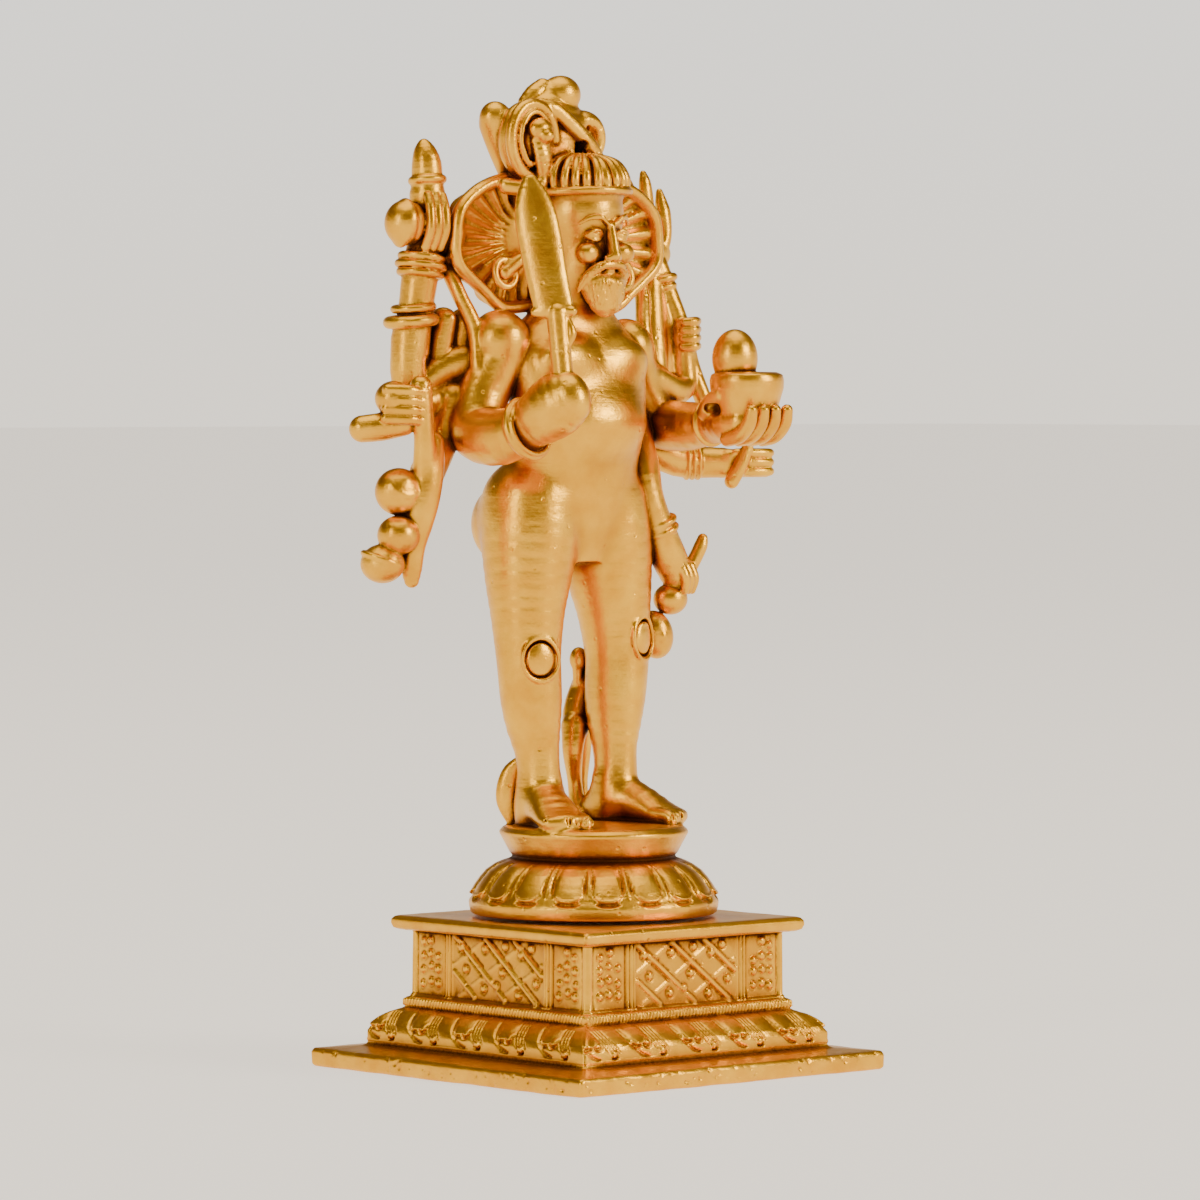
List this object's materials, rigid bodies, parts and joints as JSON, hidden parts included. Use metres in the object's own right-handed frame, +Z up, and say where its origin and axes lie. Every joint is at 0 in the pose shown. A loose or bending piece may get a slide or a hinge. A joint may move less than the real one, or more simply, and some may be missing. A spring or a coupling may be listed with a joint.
{
  "type": "bhairava figure",
  "caption": "Cast brass standing Bhairava with eight arms, tall crown and attributes, on a round lotus pedestal and a stepped square base.",
  "frame": {"origin": "middle of the square base's underside", "axes": "+Z up, the figure faces -Y, +X towards the figure's own left"},
  "size_m": [0.0495, 0.041, 0.0998],
  "materials": {
    "square_base": "satin cast brass with dark recesses",
    "figure": "satin cast brass with dark recesses"
  },
  "bodies": {
    "root": {"square_base": "square_base", "figure": "figure"}
  },
  "joints": []
}
